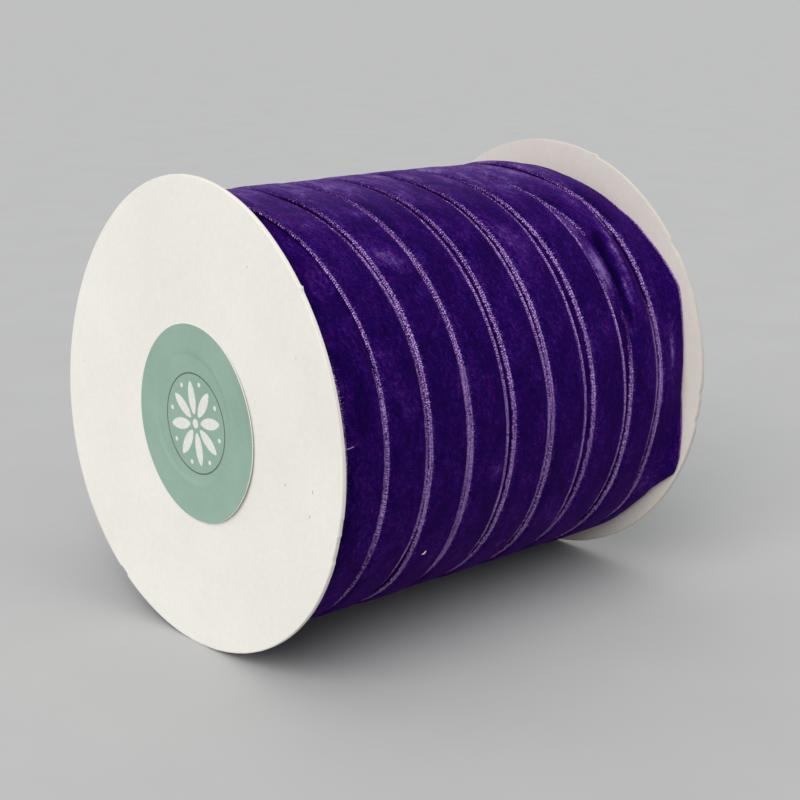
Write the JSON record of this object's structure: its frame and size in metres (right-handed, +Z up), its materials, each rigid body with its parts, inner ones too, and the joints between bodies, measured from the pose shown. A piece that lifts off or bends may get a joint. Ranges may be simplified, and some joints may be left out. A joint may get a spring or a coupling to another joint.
{
  "type": "ribbon spool",
  "caption": "White cardboard spool wound full with narrow purple velvet ribbon; round sticker over the front hole, open bore at the rear, and a taped free end that lifts.",
  "frame": {"origin": "middle of the footprint of the spool lying on the rims of its two flanges, on the surface it rests on", "axes": "+X along the spool's axis from the labelled front flange to the rear flange, +Z up, +Y away from the labelled three-quarter view"},
  "size_m": [0.0934, 0.09, 0.09],
  "materials": {
    "white_board": "coated white-lined board, matte",
    "kraft_tube": "spiral-wound kraft paper, matte",
    "glue": "dried white glue",
    "sticker_paper": "sage green paper sticker, matte",
    "velvet": "velvet pile with woven selvedges",
    "clear_tape": "clear adhesive tape"
  },
  "bodies": {
    "spool": {"front_flange": "white_board", "rear_flange": "white_board", "core_tube": "kraft_tube", "front_glue_bead": "glue", "rear_glue_bead": "glue", "front_label": "sticker_paper", "start_tape": "clear_tape", "ribbon_inner_layers": "velvet", "ribbon_top_layer": "velvet", "ribbon_last_lap": "velvet"},
    "ribbon_end": {"ribbon_tail": "velvet", "end_tape": "clear_tape"}
  },
  "joints": [
    {"name": "tail_lift", "type": "hinge", "parent": "spool", "child": "ribbon_end", "pos_m": [0.04068, 0.03695, 0.02341], "axis": [-1, 0, 0], "range_deg": [0, 75]}
  ]
}
